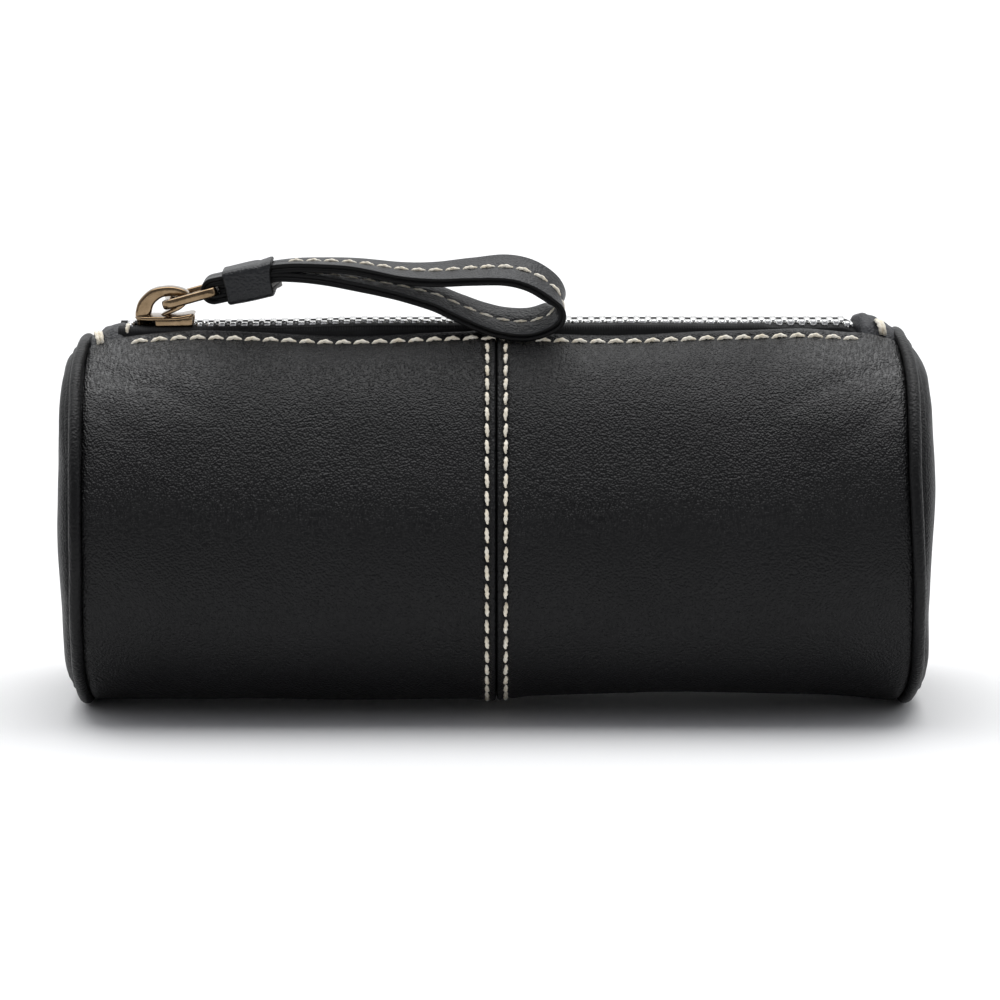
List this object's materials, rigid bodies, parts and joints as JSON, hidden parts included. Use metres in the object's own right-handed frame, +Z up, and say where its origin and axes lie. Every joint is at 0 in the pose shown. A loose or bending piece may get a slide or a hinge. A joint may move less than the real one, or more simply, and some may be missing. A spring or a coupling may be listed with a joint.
{
  "type": "fountain pen case",
  "caption": "Barrel-shaped black leather pen case with piped round ends, contrast stitching, a metal zip along the top and a leather loop pull that opens its back wall.",
  "frame": {"origin": "on the resting surface, under the middle of the case", "axes": "+X along the barrel and the zip towards the zip's open end, -Y the front, +Z up"},
  "size_m": [0.19, 0.0866, 0.0977],
  "materials": {
    "black_leather": "semi-matt fine-grained black leather",
    "strap_leather": "smooth black strap leather with painted edges",
    "lining_cloth": "dark woven lining",
    "zip_tape": "black woven tape",
    "cord_core": "twisted filler cord",
    "zip_metal": "bright nickel",
    "slider_metal": "polished warm nickel",
    "ivory_thread": "waxed ivory thread"
  },
  "bodies": {
    "case": {"left_front_panel": "black_leather", "right_front_panel": "black_leather", "front_seam_tape": "lining_cloth", "front_lining": "lining_cloth", "left_piping": "black_leather", "right_piping": "black_leather", "left_piping_cord": "cord_core", "right_piping_cord": "cord_core", "left_end_panel": "black_leather", "right_end_panel": "black_leather", "left_end_lining": "lining_cloth", "right_end_lining": "lining_cloth", "front_zip_tape": "zip_tape", "front_zip_teeth": "zip_metal", "front_top_stop": "zip_metal", "bottom_stop": "zip_metal", "left_zip_tab": "black_leather", "right_zip_tab": "black_leather", "front_topstitch": "ivory_thread", "front_seam_stitch_left": "ivory_thread", "front_seam_stitch_right": "ivory_thread", "left_tack_stitch": "ivory_thread", "right_tack_stitch": "ivory_thread"},
    "back_wall": {"left_back_panel": "black_leather", "right_back_panel": "black_leather", "back_seam_tape": "lining_cloth", "back_lining": "lining_cloth", "back_zip_tape": "zip_tape", "back_zip_teeth": "zip_metal", "back_top_stop": "zip_metal", "back_topstitch": "ivory_thread", "back_seam_stitch_left": "ivory_thread", "back_seam_stitch_right": "ivory_thread"},
    "slider": {"slider_body": "slider_metal", "slider_bail": "slider_metal"},
    "ring": {"pull_ring": "slider_metal"},
    "strap": {"strap_outer_ply": "strap_leather", "strap_inner_ply": "strap_leather", "strap_stitching": "ivory_thread", "strap_keeper": "strap_leather"}
  },
  "joints": [
    {"name": "zip_slide", "type": "slide", "parent": "case", "child": "slider", "axis": [1, 0, 0], "range_m": [0, 0.142], "deforming": ["front_zip_teeth", "back_zip_teeth", "back_zip_tape"]},
    {"name": "back_wall_fold", "type": "hinge", "parent": "case", "child": "back_wall", "pos_m": [0, 0.014, 0.0022], "axis": [-1, 0, 0], "range_deg": [0, 15]},
    {"name": "ring_swing", "type": "hinge", "parent": "slider", "child": "ring", "pos_m": [-0.0715, 0, 0.0869], "axis": [0, -1, 0], "range_deg": [0, 110]},
    {"name": "strap_swing", "type": "hinge", "parent": "ring", "child": "strap", "pos_m": [-0.06119, 0, 0.08976], "axis": [0, -1, 0], "range_deg": [0, 60]}
  ],
  "couplings": [
    {"joint": "back_wall_fold", "follows": "zip_slide", "rad_per_m": 1.84}
  ]
}
